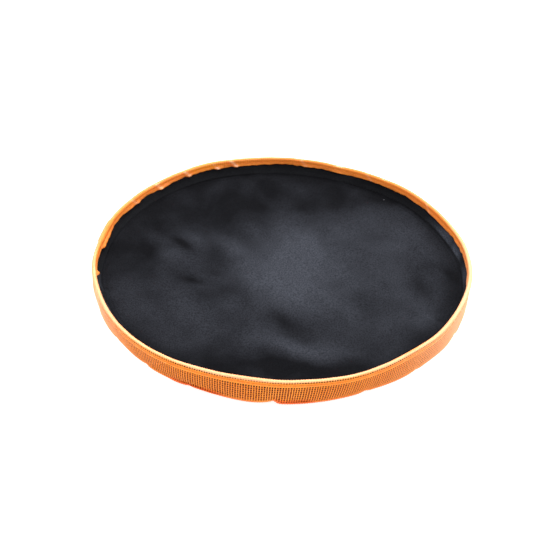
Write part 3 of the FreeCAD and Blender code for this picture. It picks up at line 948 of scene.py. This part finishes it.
def tape_material():
    m = Mat("orange_mesh_tape")
    broad_n = m.noise(28.0, 3.0)
    fine_n = m.noise(900.0, 2.0)
    base = m.mix(m.ramp(broad_n, [(0.32, 0.0), (0.7, 1.0)]), lin(241, 138, 24), lin(246, 150, 34))
    base = m.mix(m.ramp(fine_n, [(0.35, 0.0), (0.75, 0.35)]), base, lin(214, 98, 24))
    # painted shade: bars and rib flanks mixed towards a darker red-brown
    rib_and_bar_shade = m.node("ShaderNodeAttribute", attribute_name="rib_and_bar_shade").outputs["Fac"]
    base = m.mix(m.math("MULTIPLY", rib_and_bar_shade, 0.6), base, lin(176, 66, 16))
    # painted shade: a deeper saturated orange mixed in where the vertex attribute marks it
    edge = m.node("ShaderNodeAttribute", attribute_name="edge").outputs["Fac"]
    base = m.mix(m.ramp(edge, [(0.10, 0.0), (0.9, 0.85)]), base, lin(232, 88, 8))
    # painted highlight: a pale peach mixed in where the vertex attribute marks it
    painted_highlight = m.node("ShaderNodeAttribute", attribute_name="painted_highlight").outputs["Fac"]
    base = m.mix(m.math("MULTIPLY", painted_highlight, 0.5), base, lin(255, 216, 182))
    m.link(base, m.bsdf.inputs["Base Color"])
    rough = m.ramp(fine_n, [(0.2, 0.38), (0.8, 0.56)])
    m.link(rough, m.bsdf.inputs["Roughness"])
    set_bsdf(m, Sheen_Weight=0.05, Sheen_Roughness=0.35)
    m.bsdf.inputs["Sheen Tint"].default_value = (1.0, 0.85, 0.7, 1)
    m.bsdf.inputs["Specular IOR Level"].default_value = 0.38
    # twisted yarn: fine slanted ridges
    wave = m.node("ShaderNodeTexWave", wave_type="BANDS", bands_direction="DIAGONAL")
    wave.inputs["Scale"].default_value = 900.0
    wave.inputs["Distortion"].default_value = 3.0
    wave.inputs["Detail"].default_value = 1.0
    m.link(m.coords(), wave.inputs["Vector"])
    h = m.math("ADD", m.math("MULTIPLY", wave.outputs["Fac"], 0.6), m.math("MULTIPLY", fine_n, 0.6))
    m.bump(h, 0.5, 0.00012)
    return m.m


def fabric_material(name, dark, light, weave=0.00042, sheen=0.35, rough=0.78, lint=True, painted_sheen_colour=None, level=0.2):
    """Close black plain weave with a soft blue-grey sheen."""
    m = Mat(name)
    co = m.coords()
    sep = m.node("ShaderNodeSeparateXYZ")
    m.link(co, sep.inputs[0])
    k = TAU / weave
    sx = m.math("SINE", m.math("MULTIPLY", sep.outputs[0], k))
    sy = m.math("SINE", m.math("MULTIPLY", sep.outputs[1], k))
    weave_h = m.math("MULTIPLY", sx, sy)
    yarn = m.noise(1700.0, 2.0)
    big = m.noise(16.0, 4.0, 0.6)
    mid = m.noise(90.0, 3.0, 0.6)
    tone = m.math("ADD", m.math("MULTIPLY", big, 0.65), m.math("MULTIPLY", mid, 0.35))
    base = m.mix(m.ramp(tone, [(0.30, 0.0), (0.72, 1.0)]), dark, light)
    # painted sheen: a paler blue-grey mixed in where the vertex attribute marks it
    if painted_sheen_colour:
        painted_light_amount = m.node("ShaderNodeAttribute", attribute_name="painted_sheen").outputs["Fac"]
        painted_light_amount = m.math("MULTIPLY", painted_light_amount, m.math("ADD", m.math("MULTIPLY", mid, 0.5), 0.72), clamp=True)
        base = m.mix(painted_light_amount, base, painted_sheen_colour)
    grain = m.noise(1150.0, 2.0, 0.6)
    base = m.mix(m.ramp(grain, [(0.38, 0.0), (0.66, 0.55)]), base, tuple(c * 0.45 for c in dark[:3]) + (1.0,))
    speck = m.math("MULTIPLY", m.math("ADD", weave_h, 1.0), 0.5)
    base = m.mix(m.math("MULTIPLY", speck, 0.30), base, tuple(c * 0.55 for c in dark[:3]) + (1.0,))
    if lint:
        v = m.node("ShaderNodeTexVoronoi", feature="F1")
        v.inputs["Scale"].default_value = 55.0
        v.inputs["Randomness"].default_value = 1.0
        m.link(co, v.inputs["Vector"])
        dots = m.math("LESS_THAN", v.outputs["Distance"], 0.028)
        pick = m.node("ShaderNodeSeparateColor")
        m.link(v.outputs["Color"], pick.inputs[0])
        some = m.math("GREATER_THAN", pick.outputs[0], 0.80)
        base = m.mix(m.math("MULTIPLY", m.math("MULTIPLY", dots, some), 0.35), base, (0.16, 0.16, 0.17, 1.0))
    m.link(base, m.bsdf.inputs["Base Color"])
    r = m.ramp(yarn, [(0.25, rough - 0.1), (0.75, rough + 0.08)])
    m.link(r, m.bsdf.inputs["Roughness"])
    set_bsdf(m, Sheen_Weight=sheen, Sheen_Roughness=0.55)
    m.bsdf.inputs["Sheen Tint"].default_value = (0.85, 0.92, 1.0, 1)
    m.bsdf.inputs["Specular IOR Level"].default_value = level
    m.bsdf.inputs["Specular Tint"].default_value = (0.80, 0.90, 1.0, 1)
    h = m.math("ADD", m.math("MULTIPLY", weave_h, 0.7), m.math("MULTIPLY", yarn, 0.8))
    m.bump(h, 0.5, 0.00006)
    return m.m


def thread_material(name, colour, dark, rough=0.5, level=0.4):
    m = Mat(name)
    m.bsdf.inputs["Specular IOR Level"].default_value = level
    n = m.noise(1400.0, 2.0)
    base = m.mix(m.ramp(n, [(0.3, 0.0), (0.7, 1.0)]), colour, dark)
    m.link(base, m.bsdf.inputs["Base Color"])
    set_bsdf(m, Roughness=rough)
    wave = m.node("ShaderNodeTexWave", wave_type="BANDS", bands_direction="DIAGONAL")
    wave.inputs["Scale"].default_value = 1100.0
    wave.inputs["Distortion"].default_value = 1.0
    m.link(m.coords(), wave.inputs["Vector"])
    m.bump(wave.outputs["Fac"], 0.6, 0.0001)
    return m.m


def plain_material(name, a, b, rough, scale=300.0):
    m = Mat(name)
    n = m.noise(scale, 3.0)
    m.link(m.mix(n, a, b), m.bsdf.inputs["Base Color"])
    set_bsdf(m, Roughness=rough)
    m.bump(n, 0.3, 0.0002)
    return m.m


MAT_TAPE = tape_material()
MAT_FLOOR = fabric_material("black_floor_fabric", (0.0045, 0.0046, 0.0055, 1), (0.0080, 0.0083, 0.0098, 1), sheen=0.0, rough=0.55, painted_sheen_colour=(0.046, 0.0495, 0.061, 1), level=0.005)
MAT_LINING = fabric_material("black_lining_fabric", (0.008, 0.0082, 0.0095, 1), (0.014, 0.0145, 0.0165, 1), sheen=0.0, rough=0.6, lint=False, painted_sheen_colour=(0.052, 0.057, 0.072, 1), level=0.01)
MAT_UNDER = fabric_material("black_under_fabric", (0.007, 0.0072, 0.008, 1), (0.012, 0.0125, 0.014, 1), weave=0.0006, sheen=0.02, level=0.05)
MAT_FELT = plain_material("pale_felt", (0.62, 0.61, 0.58, 1), (0.5, 0.49, 0.47, 1), 0.95)
MAT_FOAM = plain_material("dark_foam", (0.085, 0.016, 0.005, 1), (0.12, 0.024, 0.008, 1), 0.95)
MAT_CORE = plain_material("pale_core_plastic", lin(255, 214, 170), lin(250, 200, 150), 0.4, 60.0)
MAT_ORANGE = thread_material("orange_thread", lin(246, 150, 66), lin(228, 118, 40))
MAT_BLACK = thread_material("black_thread", (0.006, 0.006, 0.007, 1), (0.004, 0.004, 0.005, 1), rough=0.85, level=0.02)

for ob, mat, node, slot in (
    (tape_band, MAT_TAPE, "rim_tape", "mesh_tape"),
    (tape_bead, MAT_TAPE, "rim_tape", "mesh_tape"),
    (lining, MAT_LINING, "wall_lining_strip", "face_fabric"),
    (foam, MAT_FOAM, "rim_wall_foam", "rim_foam"),
    (core, MAT_CORE, "rim_core_tube", "core_plastic"),
    (pin, MAT_CORE, "core_joining_pin", "core_plastic"),
    (floor_inner, MAT_FLOOR, "floor_panel_inner", "face_fabric"),
    (floor_outer, MAT_UNDER, "floor_panel_outer", "face_fabric"),
    (interlining, MAT_FELT, "floor_interlining", "floor_padding"),
    (bead_needle, MAT_ORANGE, "bead_seam_needle_thread", "orange_thread"),
    (bead_bobbin, MAT_ORANGE, "bead_seam_bobbin_thread", "orange_thread"),
    (base_needle, MAT_ORANGE, "base_seam_needle_thread", "orange_thread"),
    (base_bobbin, MAT_BLACK, "base_seam_bobbin_thread", "black_thread"),
    (corner, MAT_BLACK, "corner_seam_thread", "black_thread"),
    (tack, MAT_ORANGE, "tape_end_bartack", "orange_thread"),
):
    ob.data.materials.append(mat)
    # The CAD node of the same name is hidden, and this piece stands for it.
    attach(ob, "root")
    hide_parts(node)

# ---------------------------------------------------------------------------
# Studio: pale floor, soft lights, camera
# ---------------------------------------------------------------------------
bpy.ops.mesh.primitive_plane_add(size=6.0, location=(0, 0, -0.0004))
floor = bpy.context.object
floor.name = "studio_floor"
fm = Mat("studio_white")
n = fm.noise(3.0, 2.0)
fm.link(fm.mix(n, (0.50, 0.50, 0.50, 1), (0.52, 0.52, 0.52, 1)), fm.bsdf.inputs["Base Color"])
set_bsdf(fm, Roughness=0.9)
fm.bsdf.inputs["Specular IOR Level"].default_value = 0.1
fm.bsdf.inputs["Emission Color"].default_value = (1.0, 1.0, 1.0, 1)
fm.bsdf.inputs["Emission Strength"].default_value = 0.78
floor.data.materials.append(fm.m)

world = bpy.data.worlds.new("studio")
bpy.context.scene.world = world
world.use_nodes = True
bg = world.node_tree.nodes["Background"]
bg.inputs["Color"].default_value = (1.0, 1.0, 1.0, 1)
bg.inputs["Strength"].default_value = 0.5


def area(name, loc, target, size, power, colour=(1, 1, 1), size_y=None):
    li = bpy.data.lights.new(name, "AREA")
    li.energy = power
    li.color = colour
    li.shape = "RECTANGLE" if size_y else "SQUARE"
    li.size = size
    if size_y:
        li.size_y = size_y
    ob = bpy.data.objects.new(name, li)
    bpy.context.scene.collection.objects.link(ob)
    ob.location = loc
    ob.rotation_mode = "QUATERNION"
    ob.rotation_quaternion = (Vector(target) - Vector(loc)).to_track_quat("-Z", "Y")
    return ob


area("key_back", (0.10, 0.78, 1.30), (0, 0, 0), 0.9, 24.0, (0.99, 0.99, 1.0), size_y=0.6)
area("top_soft", (0.05, 0.10, 1.25), (0, 0, 0), 1.1, 15.0, (1.0, 1.0, 1.0))
area("side_right", (1.05, 0.15, 0.36), (0, 0, 0), 0.5, 8.0, (1.0, 0.98, 0.95))
area("front_fill", (-0.30, -1.05, 0.95), (0, 0, 0), 0.9, 6.9, (1.0, 1.0, 1.0))
area("left_fill", (-1.1, 0.1, 0.5), (0, 0, 0), 0.6, 4.0, (1.0, 1.0, 1.0))

cam_data = bpy.data.cameras.new("camera")
cam = bpy.data.objects.new("camera", cam_data)
bpy.context.scene.collection.objects.link(cam)
cam_data.sensor_width = 36.0
cam_data.sensor_fit = "HORIZONTAL"
cam_data.lens = 59.675
cam_data.clip_start = 0.01
cam_data.clip_end = 20.0
cam_data.dof.use_dof = False
R_ = Vector((0.99934432, 0.02288612, 0.02805622))
U_ = Vector((-0.03619261, 0.60981797, 0.79171468))
B_ = Vector((0.00101009, -0.792211, 0.61024644))
cam.matrix_world = Matrix((
    (R_.x, U_.x, B_.x, 0.0),
    (R_.y, U_.y, B_.y, -0.48176),
    (R_.z, U_.z, B_.z, 0.36569),
    (0, 0, 0, 1),
))
bpy.context.scene.camera = cam
bpy.context.scene.view_settings.view_transform = "Standard"
bpy.context.scene.view_settings.look = "None"
